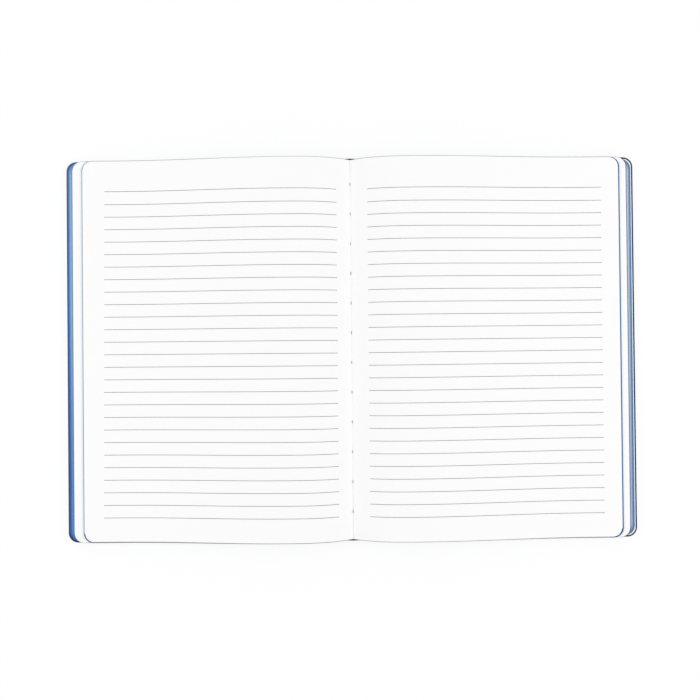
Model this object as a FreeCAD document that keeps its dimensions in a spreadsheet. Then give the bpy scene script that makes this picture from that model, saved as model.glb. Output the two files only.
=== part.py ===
"""An open, section-sewn composition notebook, lying flat on a table with its pages up.

Frame: millimetres, +Z up, Y along the spine with the head of the pages at +Y, and the front cover
at -X. The origin is the middle of the spine, on the surface that the notebook lies on.

How it is made: leaves are folded into sections, and the sections are sewn through their folds.
The sewn block is glued to a spine lining and wrapped in a flexible card cover, with an endpaper
pasted inside each panel. The cover stands a little proud of the leaves on three sides. The
notebook lies open at the middle of its centre section: short stitches show in the fold, and the
leaves climb out of it, arch over and come down flat towards both fore edges. A leaf higher up has
further to go over the arch, so the fore edge of each pile slopes and steps inwards.
"""

import FreeCAD, Part
import math
import os
import Sketcher
from FreeCAD import Vector

# Driving sizes in millimetres, and counts of leaves, sections and stitches.
SIZES = [
    ("leaf_width", 177.8, "leaf from fold to fore edge, 7 in"),
    ("leaf_height", 247.65, "leaf and cover from head to tail, 9.75 in"),
    ("leaf_thickness", 0.112, "one leaf"),
    ("section_leaves", 16, "leaves in a folded section"),
    ("side_sections", 3, "whole sections under the open one, on each side"),
    ("corner_radius", 6.35, "rounded corners of leaves and cover, 1/4 in"),
    ("cover_thickness", 0.6, "flexible cover card"),
    ("cover_overhang", 1.2, "cover beyond the leaves at head, tail and fore edge"),
    ("crease_allowance", 1.4, "cover crease outside the outermost section"),
    ("crease_clearance", 0.15, "half of the slit that a panel folds at"),
    ("endpaper_thickness", 0.15, "leaf pasted inside a panel"),
    ("endpaper_margin", 1.0, "cover left bare round the endpaper"),
    ("endpaper_inset", 0.5, "endpaper short of the crease"),
    ("lining_thickness", 0.4, "cloth on the folds of the sections"),
    ("glue_gap", 0.1, "glue on either face of the lining"),
    ("spine_rise", 2.4, "arch of the cover's spine above the table"),
    ("landing_reach", 3.0, "from the outermost fold to where its leaves touch the endpaper"),
    ("left_crown_height", 14.1, "highest line of the left page"),
    ("right_crown_height", 13.3, "highest line of the right page"),
    ("crown_reach", 42.0, "from the fold to the crown of a page"),
    ("flat_reach", 150.0, "from the fold to where a page lies level"),
    ("rise_power", 2.9, "how quickly a page climbs out of the fold"),
    ("slit_allowance", 0.15, "gap between two sections that is too thin to be open"),
    ("left_foot_inset", 0.45, "left pile, cover bare beyond its foot"),
    ("left_lean", 5.5, "left pile, slope of its fore edge"),
    ("left_open_step", 6.1, "left leaves of the open section, drawn in past the pile"),
    ("right_foot_inset", 1.6, "right pile, cover bare beyond its foot"),
    ("right_lean", 5.0, "right pile, slope of its fore edge"),
    ("right_open_step", 4.3, "right leaves of the open section, drawn in past the pile"),
    ("stitch_count", 12, "short stitches that show in the fold"),
    ("stitch_pitch", 19.4, "from one stitch to the next"),
    ("stitch_length", 1.2, "from the needle hole at one end of a stitch to the other"),
    ("stitch_shift", 1.0, "middle of the sewing, nearer the head than the middle of the leaves"),
    ("thread_diameter", 0.4, "sewing thread"),
    ("thread_sides", 8, "sides that stand for the thread's roundness"),
    ("thread_bend", 0.4, "reach of the thread's slanted turn into a hole"),
    ("thread_clearance", 0.04, "round the thread in its groove and holes"),
    ("thread_tail", 3.0, "thread behind the fold past the end holes"),
]

# Sizes that follow from the driving ones, written as expressions on the sheet.
SECTION = "(Sizes.section_leaves * Sizes.leaf_thickness)"
OPEN_HALF = f"({SECTION} / 2)"
PILE = f"(Sizes.side_sections * {SECTION})"
BLOCK_HALF = f"({PILE} + {OPEN_HALF})"
CREASE = f"({BLOCK_HALF} + Sizes.crease_allowance)"
COVER_REACH = f"({CREASE} + Sizes.leaf_width + Sizes.cover_overhang)"
COVER_HEIGHT = "(Sizes.leaf_height + 2 * Sizes.cover_overhang)"
COVER_HALF = f"({COVER_HEIGHT} / 2)"
LEAF_BED = "(Sizes.cover_thickness + Sizes.endpaper_thickness)"
PILE_TOP = f"({LEAF_BED} + {PILE})"
PAGE_LEVEL = f"({PILE_TOP} + {OPEN_HALF})"
SPINE_HALF = f"({CREASE} - Sizes.crease_clearance)"
SPINE_RADIUS = f"(({SPINE_HALF} ^ 2 + Sizes.spine_rise ^ 2) / (2 * Sizes.spine_rise))"
SPINE_CENTRE = f"(Sizes.spine_rise - {SPINE_RADIUS})"
LINING_RADIUS = f"({SPINE_RADIUS} + Sizes.cover_thickness + Sizes.glue_gap)"
FOLD_RADIUS = f"({LINING_RADIUS} + Sizes.lining_thickness + Sizes.glue_gap)"
FOLD_BACK = f"({SPINE_CENTRE} + {FOLD_RADIUS})"
GUTTER = f"({FOLD_BACK} + {OPEN_HALF})"
LANDING = f"({BLOCK_HALF} + Sizes.landing_reach)"

LEFT = -1
RIGHT = 1
CURVE_POINTS = 24  # points that a page's curve is drawn through
SAME_PLACE = 1.0e-4  # how close two points are when they are the same point

doc = FreeCAD.newDocument("notebook")


def make_sheet():
    """The spreadsheet that every piece reads its sizes from."""
    sheet = doc.addObject("Spreadsheet::Sheet", "Sizes")
    for row, (alias, number, note) in enumerate(SIZES, start=1):
        sheet.set(f"A{row}", alias)
        sheet.set(f"B{row}", str(number))
        sheet.setAlias(f"B{row}", alias)
        sheet.set(f"C{row}", note)
    doc.recompute()
    return sheet


sheet = make_sheet()


def size(expression):
    """The number that an expression on the sheet comes to."""
    return float(sheet.evalExpression(expression.replace("Sizes.", "")))


def origin_plane(body, role):
    """One of a body's own origin planes."""
    return next(f for f in body.Origin.OriginFeatures if f.Role == role)


def flat_sketch(body, role, height="0"):
    """A sketch on an origin plane of a body, lifted by an expression along the plane's normal."""
    sketch = body.newObject("Sketcher::SketchObject", body.Name + "Outline")
    sketch.AttachmentSupport = [(origin_plane(body, role), "")]
    sketch.MapMode = "FlatFace"
    if height != "0":
        sketch.setExpression("AttachmentOffset.Base.z", height)
    return sketch


def locate(sketch, geometry, point, across, up):
    """Ties a point of a sketch to the sheet, across and up from the sketch's origin."""
    for kind, expression in (("DistanceX", across), ("DistanceY", up)):
        constraint = Sketcher.Constraint(kind, geometry, point, size(expression))
        index = sketch.addConstraint(constraint)
        sketch.setExpression(f"Constraints[{index}]", expression)


def pad(body, sketch, length, both_ways=False):
    """Pads a sketch by an expression on the sheet."""
    feature = body.newObject("PartDesign::Pad", body.Name + "Pad")
    feature.Profile = sketch
    feature.Midplane = both_ways
    feature.setExpression("Length", length)
    sketch.Visibility = False
    body.Tip = feature
    return feature


def panel(name, side, inner, outer, half_height, radius, bottom, thickness):
    """A flat panel with two rounded corners at its fore edge, on one side of the spine."""
    body = doc.addObject("PartDesign::Body", name)
    body.Label = name
    sketch = flat_sketch(body, "XY_Plane", bottom)
    near = f"{side} * {inner}"
    far = f"{side} * {outer}"
    corners = [(near, f"-{half_height}"), (far, f"-{half_height}"), (far, half_height), (near, half_height)]
    points = [Vector(size(x), size(y), 0) for x, y in corners]
    for start, end in zip(points, points[1:] + points[:1]):
        sketch.addGeometry(Part.LineSegment(start, end))
    for index in range(4):
        sketch.addConstraint(Sketcher.Constraint("Coincident", index, 2, (index + 1) % 4, 1))
    for index, (x, y) in enumerate(corners):
        locate(sketch, index, 1, x, y)
    plate = pad(body, sketch, thickness)
    doc.recompute()
    rounding = body.newObject("PartDesign::Fillet", name + "Corners")
    rounding.Base = (plate, upright_edges(plate.Shape, size(far)))
    rounding.setExpression("Radius", radius)
    body.Tip = rounding
    return body


def upright_edges(shape, x):
    """Names of a shape's vertical edges at one x."""
    names = []
    for index, edge in enumerate(shape.Edges, start=1):
        box = edge.BoundBox
        upright = box.ZLength > SAME_PLACE and box.XLength < SAME_PLACE and box.YLength < SAME_PLACE
        if upright and abs(box.XMin - x) < SAME_PLACE:
            names.append(f"Edge{index}")
    return names


def arched_strip(name, half_width, inner_radius, thickness, length):
    """A strip along the spine, bent over the spine's arch."""
    body = doc.addObject("PartDesign::Body", name)
    body.Label = name
    sketch = flat_sketch(body, "XZ_Plane")
    outer_radius = f"({inner_radius} + {thickness})"
    centre = Vector(0, size(SPINE_CENTRE), 0)
    half = size(half_width)
    arcs = []
    for radius in (size(inner_radius), size(outer_radius)):
        swing = math.asin(half / radius)
        circle = Part.Circle(centre, Vector(0, 0, 1), radius)
        arcs.append(Part.ArcOfCircle(circle, math.pi / 2 - swing, math.pi / 2 + swing))
    inner = sketch.addGeometry(arcs[0])
    outer = sketch.addGeometry(arcs[1])
    right_end = sketch.addGeometry(Part.LineSegment(arcs[0].StartPoint, arcs[1].StartPoint))
    left_end = sketch.addGeometry(Part.LineSegment(arcs[0].EndPoint, arcs[1].EndPoint))
    sketch.addConstraint(Sketcher.Constraint("Coincident", inner, 3, outer, 3))
    sketch.addConstraint(Sketcher.Constraint("Coincident", right_end, 1, inner, 1))
    sketch.addConstraint(Sketcher.Constraint("Coincident", right_end, 2, outer, 1))
    sketch.addConstraint(Sketcher.Constraint("Coincident", left_end, 1, inner, 2))
    sketch.addConstraint(Sketcher.Constraint("Coincident", left_end, 2, outer, 2))
    sketch.addConstraint(Sketcher.Constraint("Vertical", right_end))
    sketch.addConstraint(Sketcher.Constraint("Vertical", left_end))
    locate(sketch, inner, 3, "0", SPINE_CENTRE)
    for arc, radius in ((inner, inner_radius), (outer, outer_radius)):
        index = sketch.addConstraint(Sketcher.Constraint("Radius", arc, size(radius)))
        sketch.setExpression(f"Constraints[{index}]", radius)
    for end, across in ((right_end, half_width), (left_end, f"-{half_width}")):
        index = sketch.addConstraint(Sketcher.Constraint("DistanceX", end, 1, size(across)))
        sketch.setExpression(f"Constraints[{index}]", across)
    pad(body, sketch, length, both_ways=True)
    return body


def page_height(crown_height, reach):
    """Height of a page above the table at a distance from the fold."""
    gutter = size(GUTTER)
    level = size(PAGE_LEVEL)
    crown_reach = size("crown_reach")
    flat_reach = size("flat_reach")
    if reach < crown_reach:
        left_to_climb = (1 - reach / crown_reach) ** size("rise_power")
        return gutter + (crown_height - gutter) * (1 - left_to_climb)
    if reach < flat_reach:
        turn = math.pi * (reach - crown_reach) / (flat_reach - crown_reach)
        return level + (crown_height - level) * (1 + math.cos(turn)) / 2
    return level


def page_curve(side, crown_height):
    """The curve of a page in the XZ plane, from the fold to where it lies level."""
    flat_reach = size("flat_reach")
    reaches = [flat_reach * (i / CURVE_POINTS) ** 1.5 for i in range(CURVE_POINTS + 1)]
    points = [Vector(side * reach, 0, page_height(crown_height, reach)) for reach in reaches]
    curve = Part.BSplineCurve()
    curve.interpolate(points)
    return curve.toShape()


def section_slit(side, crown_height, below):
    """The open slit on top of the sections below it, under the arch of the page."""
    level = size(PAGE_LEVEL)
    share = 1 / size("side_sections")
    allowance = size("slit_allowance")
    bed = size(LEAF_BED) + below * size(SECTION)
    flat_reach = size("flat_reach")

    def lift(reach):
        return max(page_height(crown_height, reach) - level, 0) * share

    def opens_at(reach):
        return lift(reach) - allowance

    start = crossing(opens_at, 0, size("crown_reach"))
    end = crossing(opens_at, flat_reach, size("crown_reach"))
    reaches = []
    for i in range(CURVE_POINTS + 1):
        reaches.append(start + (end - start) * (1 - math.cos(math.pi * i / CURVE_POINTS)) / 2)
    floor = []
    roof = []
    for reach in reaches:
        under = bed + (below - 1) * lift(reach) + allowance / 2
        floor.append(Vector(side * reach, 0, under))
        roof.append(Vector(side * reach, 0, under + max(opens_at(reach), 0)))
    roof[0] = floor[0]
    roof[-1] = floor[-1]
    edges = []
    for points in (floor, roof):
        curve = Part.BSplineCurve()
        curve.interpolate(points)
        edges.append(curve.toShape())
    return Part.Face(Part.Wire(edges))


def crossing(function, low, high):
    """Where a function that is negative at low and positive at high passes zero."""
    for _ in range(40):
        middle = (low + high) / 2
        if function(middle) > 0:
            high = middle
        else:
            low = middle
    return high


def along_spine(face):
    """Stretches a face in the XZ plane over the whole height of the leaves."""
    height = size("leaf_height")
    solid = face.extrude(Vector(0, height, 0))
    solid.translate(Vector(0, -height / 2, 0))
    return solid


def block_face():
    """The end view of the leaves before the fore edges are trimmed."""
    level = size(PAGE_LEVEL)
    bed = size(LEAF_BED)
    reach = size(COVER_REACH)
    flat_reach = size("flat_reach")
    half = size(BLOCK_HALF)
    radius = size(FOLD_RADIUS)
    centre = size(SPINE_CENTRE)
    landing = size(LANDING)
    shoulder = centre + math.sqrt(radius**2 - half**2)
    edges = []
    for side, crown in ((LEFT, "left_crown_height"), (RIGHT, "right_crown_height")):
        edges.append(page_curve(side, size(crown)))
        corners = [
            Vector(side * flat_reach, 0, level),
            Vector(side * reach, 0, level),
            Vector(side * reach, 0, bed),
            Vector(side * landing, 0, bed),
            Vector(side * half, 0, shoulder),
        ]
        for start, end in zip(corners, corners[1:]):
            edges.append(Part.makeLine(start, end))
    back = Part.Arc(Vector(-half, 0, shoulder), Vector(0, 0, centre + radius), Vector(half, 0, shoulder))
    edges.append(back.toShape())
    return Part.Face(Part.Wire(Part.__sortEdges__(edges)))


def rounded_pile(side, foot_reach, top_reach, bottom, top):
    """Leaves with a sloping fore edge and rounded corners, from well inside the flat part."""
    half = size("leaf_height / 2")
    radius = size("corner_radius")
    inner = size("flat_reach") - size("corner_radius")
    slant = Vector(side * (top_reach - foot_reach), 0, top - bottom)
    start = side * inner
    edge = side * foot_reach
    turn = side * (foot_reach - radius)
    nick = radius * (1 - math.sqrt(0.5))
    corner = side * (foot_reach - nick)
    edges = [
        Part.makeLine(Vector(start, -half, bottom), Vector(turn, -half, bottom)),
        Part.Arc(
            Vector(turn, -half, bottom), Vector(corner, nick - half, bottom), Vector(edge, radius - half, bottom)
        ).toShape(),
        Part.makeLine(Vector(edge, radius - half, bottom), Vector(edge, half - radius, bottom)),
        Part.Arc(
            Vector(edge, half - radius, bottom), Vector(corner, half - nick, bottom), Vector(turn, half, bottom)
        ).toShape(),
        Part.makeLine(Vector(turn, half, bottom), Vector(start, half, bottom)),
        Part.makeLine(Vector(start, half, bottom), Vector(start, -half, bottom)),
    ]
    return Part.Face(Part.Wire(edges)).extrude(slant)


def fore_edge_waste(side, foot_inset, lean, open_step):
    """What the sloping fore edge, the step of the open leaves and the round corners leave out."""
    foot_reach = size(COVER_REACH) - foot_inset
    pile_reach = foot_reach - lean
    open_reach = pile_reach - open_step
    bed = size(LEAF_BED)
    pile_top = size(PILE_TOP)
    level = size(PAGE_LEVEL)
    half = size("leaf_height / 2")
    reach = size(COVER_REACH)
    flat_reach = size("flat_reach")
    width = reach - flat_reach
    corner = flat_reach if side == RIGHT else -reach
    room = Part.makeBox(width, 2 * half, level - bed, Vector(corner, -half, bed))
    pile = rounded_pile(side, foot_reach, pile_reach, bed, pile_top)
    open_leaves = rounded_pile(side, open_reach, open_reach, pile_top, level)
    return room.cut(pile).cut(open_leaves)


def stitch_holes():
    """Places of the needle holes along the fold, from tail to head, two to a stitch."""
    count = int(size("stitch_count"))
    pitch = size("stitch_pitch")
    half = size("stitch_length") / 2
    shift = size("stitch_shift")
    holes = []
    for index in range(count):
        middle = shift + (index - (count - 1) / 2) * pitch
        holes += [middle - half, middle + half]
    return holes


def thread_level(inside):
    """Height of the thread's middle where it lies in the fold, or behind the fold."""
    radius = size("thread_diameter") / 2
    clearance = size("thread_clearance")
    if not inside:
        return size(FOLD_BACK) + radius + clearance
    slope = (size("left_crown_height") - size(GUTTER)) * size("rise_power") / size("crown_reach")
    return size(GUTTER) + radius * math.sqrt(1 + slope**2) + clearance


def thread_path():
    """The sewing as one wire: long runs behind the fold, and a short stitch inside at each pair."""
    bend = size("thread_bend")
    tail = size("thread_tail")
    holes = stitch_holes()
    points = [Vector(0, holes[0] - tail, thread_level(False))]
    for index, hole in enumerate(holes):
        inside = index % 2 == 0
        now = thread_level(not inside)
        then = thread_level(inside)
        way = 1 if then > now else -1
        points.append(Vector(0, hole - bend, now))
        points.append(Vector(0, hole, now + way * bend))
        points.append(Vector(0, hole, then - way * bend))
        points.append(Vector(0, hole + bend, then))
    points.append(Vector(0, holes[-1] + tail, thread_level(False)))
    return Part.makePolygon(points)


def thread_section(start):
    """The thread's outline, square to the fold, drawn with few enough sides for so thin a thread."""
    sides = int(size("thread_sides"))
    radius = size("thread_diameter") / 2
    points = []
    for i in range(sides + 1):
        turn = 2 * math.pi * (i + 0.5) / sides
        points.append(start + Vector(radius * math.cos(turn), 0, radius * math.sin(turn)))
    return Part.makePolygon(points)


def sewing_room():
    """The needle holes, and the grooves behind the fold that the thread lies in."""
    radius = size("thread_diameter") / 2
    clearance = size("thread_clearance")
    bend = size("thread_bend")
    tail = size("thread_tail")
    half_width = radius + clearance
    half_length = bend / 2 + radius + clearance
    low = size(FOLD_BACK) - radius
    groove_top = thread_level(False) + half_width
    page_top = thread_level(True)
    holes = stitch_holes()
    room = []
    for hole in holes:
        corner = Vector(-half_width, hole - half_length, low)
        room.append(Part.makeBox(2 * half_width, 2 * half_length, page_top - low, corner))
    starts = [holes[0] - tail - clearance] + holes[1::2]
    ends = holes[0::2] + [holes[-1] + tail + clearance]
    for start, end in zip(starts, ends):
        corner = Vector(-half_width, start, low)
        room.append(Part.makeBox(2 * half_width, end - start, groove_top - low, corner))
    return room[0].fuse(room[1:])


def shaped(name, shape):
    """Puts a finished shape in the document under the name of its piece."""
    thing = doc.addObject("Part::Feature", name)
    thing.Label = name
    thing.Shape = shape
    return thing


def make_text_block():
    """All leaves as one body: arched pages, slits between sections, needle holes, fore edges."""
    block = along_spine(block_face())
    for side, name in ((LEFT, "left"), (RIGHT, "right")):
        crown = size(name + "_crown_height")
        for below in range(1, int(size("side_sections")) + 1):
            block = block.cut(along_spine(section_slit(side, crown, below)))
        steps = [size(f"{name}_{part}") for part in ("foot_inset", "lean", "open_step")]
        block = block.cut(fore_edge_waste(side, *steps))
    block = block.cut(sewing_room())
    solid = block.Solids[0] if len(block.Solids) == 1 else block
    return shaped("text_block", solid)


def make_thread():
    """The sewing thread, swept along the running stitch."""
    path = thread_path()
    outline = thread_section(path.OrderedVertexes[0].Point)
    mitred = 1
    return shaped("sewing_thread", path.makePipeShell([outline], True, False, mitred))


def make_panels():
    """The two cover panels, and the endpaper pasted inside each."""
    end_inner = f"({CREASE} + Sizes.endpaper_inset)"
    end_outer = f"({COVER_REACH} - Sizes.endpaper_margin)"
    end_half = f"({COVER_HALF} - Sizes.endpaper_margin)"
    end_radius = "(Sizes.corner_radius - Sizes.endpaper_margin)"
    inner = f"({CREASE} + Sizes.crease_clearance)"
    pieces = []
    for side, name in ((LEFT, "front"), (RIGHT, "back")):
        cover_name = name + "_cover"
        pieces.append(
            panel(
                cover_name, side, inner, COVER_REACH, COVER_HALF,
                "Sizes.corner_radius", "0", "Sizes.cover_thickness",
            )
        )
        pieces.append(
            panel(
                name + "_endpaper", side, end_inner, end_outer, end_half,
                end_radius, "Sizes.cover_thickness", "Sizes.endpaper_thickness",
            )
        )
    return pieces


def main():
    """Makes every piece, checks it and writes it to its file."""
    pieces = [make_text_block(), make_thread()]
    spine = ("cover_spine", SPINE_HALF, SPINE_RADIUS, "Sizes.cover_thickness", COVER_HEIGHT)
    lining = ("spine_lining", BLOCK_HALF, LINING_RADIUS, "Sizes.lining_thickness", "Sizes.leaf_height")
    for strip in (spine, lining):
        pieces.append(arched_strip(*strip))
    pieces += make_panels()
    doc.recompute()
    for thing in doc.Objects:
        if "Invalid" in thing.State or "Error" in thing.State:
            raise RuntimeError(f"{thing.Label} did not build")
    os.makedirs("parts", exist_ok=True)
    for piece in pieces:
        shape = piece.Shape
        if shape.isNull() or not shape.isValid() or len(shape.Solids) != 1:
            raise RuntimeError(f"{piece.Label} is not one sound solid")
        shape.exportStep(f"parts/{piece.Label}.step")
        box = shape.BoundBox
        print(piece.Label, round(shape.Volume, 1), [round(v, 2) for v in (box.XMin, box.XMax, box.ZMin, box.ZMax)])


main()
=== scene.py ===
# %% [markdown]
# # An open composition notebook
#
# The imported notebook is a plain frame: a block of leaves, a sewing thread, a cover in three parts
# and two endpapers. This lesson dresses it. It draws every leaf of the block as a thin sheet of
# its own, prints the ruling on the two open pages, stains the trimmed edges, twists the thread and
# draws the cover card again with round corners. All of it stays in the frame's own place and size.
#
# Lengths are thought of in millimetres, since paper is measured in them, and the numpy surfaces
# are turned into metres in one place, where a mesh is made.

# %% The frame
import math

import bpy
import numpy as np
from mathutils import Matrix, Vector


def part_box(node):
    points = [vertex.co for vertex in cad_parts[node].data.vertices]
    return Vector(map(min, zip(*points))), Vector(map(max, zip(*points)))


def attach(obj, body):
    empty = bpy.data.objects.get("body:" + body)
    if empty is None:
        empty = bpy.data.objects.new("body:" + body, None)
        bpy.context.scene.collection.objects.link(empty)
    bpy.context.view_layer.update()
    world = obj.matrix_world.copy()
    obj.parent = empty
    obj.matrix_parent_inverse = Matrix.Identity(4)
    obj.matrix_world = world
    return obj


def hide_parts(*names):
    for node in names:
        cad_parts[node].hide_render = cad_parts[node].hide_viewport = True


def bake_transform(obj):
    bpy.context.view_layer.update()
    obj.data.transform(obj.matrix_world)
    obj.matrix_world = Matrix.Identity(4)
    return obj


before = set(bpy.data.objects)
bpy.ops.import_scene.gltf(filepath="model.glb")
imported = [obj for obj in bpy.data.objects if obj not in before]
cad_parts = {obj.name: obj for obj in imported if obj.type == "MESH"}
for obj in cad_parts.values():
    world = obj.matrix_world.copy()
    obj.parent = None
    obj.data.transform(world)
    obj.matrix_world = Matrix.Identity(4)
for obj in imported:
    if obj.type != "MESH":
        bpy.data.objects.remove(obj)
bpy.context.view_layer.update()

MM = 0.001
rng = np.random.default_rng(7)

# %% [markdown]
# A notebook's sizes hang together: the leaves decide how thick the block is, and the block decides
# how far the cover reaches. They could all be typed in, but then a changed frame and this lesson
# would drift apart. So the sizes come from the frame where a node shows them: the block of leaves
# gives the height of a leaf and its bed, the spine strip gives the arch under the folds, and a
# cover panel gives the reach of the card. What no node shows, such as how thick one leaf is, is
# stated.

# %% Sizes


def box_mm(node):
    """The lowest and highest corner of a node of the frame, in millimetres."""
    return [np.array(corner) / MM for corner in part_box(node)]


BLOCK_LOW, BLOCK_HIGH = box_mm("text_block")
PANEL_LOW, PANEL_HIGH = box_mm("back_cover")
SPINE_HIGH = box_mm("cover_spine")[1]
PASTE_HIGH = box_mm("back_endpaper")[1]

LEAF_HEIGHT = BLOCK_HIGH[1] - BLOCK_LOW[1]
COVER_HEIGHT = PANEL_HIGH[1] - PANEL_LOW[1]
CORNER = 6.35  # radius of every round corner, a quarter of an inch
LEAF = 0.112  # thickness of one leaf
SECTION_LEAVES = 16
SIDE_LEAVES = 56  # leaves on each side of the opening
OPEN_LEAVES = 8  # those of them that belong to the open section
BLOCK_HALF = SIDE_LEAVES * LEAF
BED = BLOCK_LOW[2]  # what the lowest leaf lies on
LEVEL = BED + BLOCK_HALF  # the open page where it lies flat
LANDING = BLOCK_HALF + 3.0  # where the lowest leaf has come down to the endpaper

CARD = PANEL_HIGH[2]  # thickness of the cover
LINED = 0.6  # the lining and the glue on both of its faces
COVER_REACH = PANEL_HIGH[0]
SPINE_HALF = SPINE_HIGH[0]
SPINE_RISE = SPINE_HIGH[2] - CARD  # how far the spine strip arches up from the table
SPINE_RADIUS = (SPINE_HALF**2 + SPINE_RISE**2) / (2 * SPINE_RISE)
SPINE_CENTRE = SPINE_RISE - SPINE_RADIUS
FOLD_RADIUS = SPINE_RADIUS + CARD + LINED
FOLD_BACK = SPINE_CENTRE + FOLD_RADIUS  # back of the open section's fold
GUTTER = FOLD_BACK + OPEN_LEAVES * LEAF  # its inside, where the two open pages meet
print(f"a leaf is {LEAF_HEIGHT:.2f} mm tall")
print(f"the open pages lie flat at {LEVEL:.2f} mm and meet at {GUTTER:.2f} mm")

# %% [markdown]
# The two halves of the block differ a little, because the book was opened by hand: the left page
# arches higher, and the piles at the fore edges lean and step by different amounts. Drawing one
# half and mirroring it would lose that. Here both halves are described by the same few numbers, so
# one function can draw either.

# %% The two halves
LEFT = {
    "side": -1,
    "crown": 14.1,
    "foot": -BLOCK_LOW[0],  # fore edge of the lowest leaf
    "lean": 5.5,  # from there back to the highest leaf under the open section
    "step": 6.1,  # from there back to the open section
    "fan": 0.07,  # how far each leaf of the open section stands out under the one above
}
RIGHT = {
    "side": 1,
    "crown": 13.3,
    "foot": BLOCK_HIGH[0],
    "lean": 5.0,
    "step": 4.3,
    "fan": 0.13,
}
print("crowns at", LEFT["crown"], "and", RIGHT["crown"], "mm above the table")

# %% [markdown]
# An open page is held at the fold and lies on the pile further out, so it arches between the two:
# steeply out of the gutter, over a crown, and gently down to the flat. A curve drawn by hand would
# do, but two formulas that meet level at the crown give no kink and need only a few numbers. What
# the lowest leaf lies on is simpler still: an arc of the spine, a slope and a plane.

# %% Heights of page and bed
CROWN_REACH = 42.0  # distance of the crown from the fold
FLAT_REACH = 150.0  # distance at which the page lies flat
RISE_POWER = 2.9  # how steeply the page leaves the fold


def page_height(reach, crown):
    """Height of an open page: it climbs out of the fold by a power of the distance that is left to
    the crown, then comes down to the flat part along half a cosine wave."""
    reach = np.clip(reach, 0, FLAT_REACH)
    climb = 1 - (1 - np.minimum(reach, CROWN_REACH) / CROWN_REACH) ** RISE_POWER
    turn = math.pi * (reach - CROWN_REACH) / (FLAT_REACH - CROWN_REACH)
    rise = GUTTER + (crown - GUTTER) * climb
    fall = LEVEL + (crown - LEVEL) * (1 + np.cos(turn)) / 2
    return np.where(reach < CROWN_REACH, rise, fall)


def bed_height(reach):
    """Height of what the lowest leaves lie on: the arch of the lined spine, then a short slope,
    then the endpaper."""
    arch = SPINE_CENTRE + np.sqrt(FOLD_RADIUS**2 - np.minimum(reach, BLOCK_HALF) ** 2)
    shoulder = SPINE_CENTRE + math.sqrt(FOLD_RADIUS**2 - BLOCK_HALF**2)
    slope = np.clip((reach - BLOCK_HALF) / (LANDING - BLOCK_HALF), 0, 1)
    return np.where(reach < BLOCK_HALF, arch, shoulder + (BED - shoulder) * slope)


half_way = float(page_height((CROWN_REACH + FLAT_REACH) / 2, LEFT["crown"]))
print(f"half way down its slope the left page is {half_way:.2f} mm above the table")

# %% [markdown]
# A leaf is a slab: an upper grid of points, a lower grid right under it, and walls wherever the
# grid ends. A Solidify modifier could thicken a single grid as well. Here every cell picks its own
# material, and so do the walls, which is plainer to say when the faces are written out. Cells can
# be left out, and then walls line the hole too, which is how the needle holes are made. The same
# function closes the cover panels and the open sheet. It builds whole arrays of faces and never
# walks over vertices one by one.

# %% Slabs from grids


def slab_faces(keep):
    """Faces of a closed slab over the cells of a grid that are kept: arrays of upper, lower and
    wall quads as vertex numbers, with the lower layer numbered after the upper one. A wall stands
    wherever a cell that is kept has no such neighbour."""
    rows, columns = keep.shape[0] + 1, keep.shape[1] + 1
    number = np.arange(rows * columns).reshape(rows, columns)
    under = number + rows * columns
    upper = np.stack([number[:-1, :-1], number[1:, :-1], number[1:, 1:], number[:-1, 1:]], -1)
    lower = np.stack([under[:-1, :-1], under[:-1, 1:], under[1:, 1:], under[1:, :-1]], -1)
    padded = np.pad(keep, 1)
    walls = []
    for across in (True, False):
        if across:
            before, after = padded[:-1, 1:-1], padded[1:, 1:-1]
            ends = (number[:, :-1], number[:, 1:], under[:, 1:], under[:, :-1])
        else:
            before, after = padded[1:-1, :-1], padded[1:-1, 1:]
            ends = (number[1:, :], number[:-1, :], under[:-1, :], under[1:, :])
        quads = np.stack(ends, -1)
        walls.append(quads[after & ~before])
        walls.append(quads[before & ~after][:, ::-1])
    return upper[keep], lower[keep], np.concatenate(walls)


def flip(faces, turned):
    """Faces with their order reversed when the grid runs the other way round."""
    return faces[:, ::-1] if turned else faces


def mesh_object(name, points, faces, slots, materials, smooth=None):
    """A mesh object at the origin from points in millimetres, quads and their material slots."""
    mesh = bpy.data.meshes.new(name)
    mesh.vertices.add(len(points))
    mesh.vertices.foreach_set("co", (points * MM).astype(np.float32).ravel())
    mesh.loops.add(faces.size)
    mesh.loops.foreach_set("vertex_index", faces.astype(np.int32).ravel())
    mesh.polygons.add(len(faces))
    mesh.polygons.foreach_set("loop_start", np.arange(0, faces.size, 4, dtype=np.int32))
    mesh.polygons.foreach_set("loop_total", np.full(len(faces), 4, np.int32))
    for material in materials:
        mesh.materials.append(material)
    mesh.polygons.foreach_set("material_index", slots.astype(np.int32))
    if smooth is not None:
        mesh.polygons.foreach_set("use_smooth", smooth)
    mesh.update(calc_edges=True)
    mesh.validate()
    piece = bpy.data.objects.new(name, mesh)
    bpy.context.scene.collection.objects.link(piece)
    return piece


one_cell = slab_faces(np.ones((1, 1), bool))
print("a slab over one cell has", sum(len(part) for part in one_cell), "faces")

# %% [markdown]
# The materials are small programs over the surface. They could be wired by hand in the shader
# editor, but then nobody could read them here. Writing the mathematics of a shader as Python
# expressions keeps them short: a wire carries a socket, and adding or multiplying wires adds the
# node that does it. Everything reads the object's own coordinates, which are the notebook's.

# %% Shader wires


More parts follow.
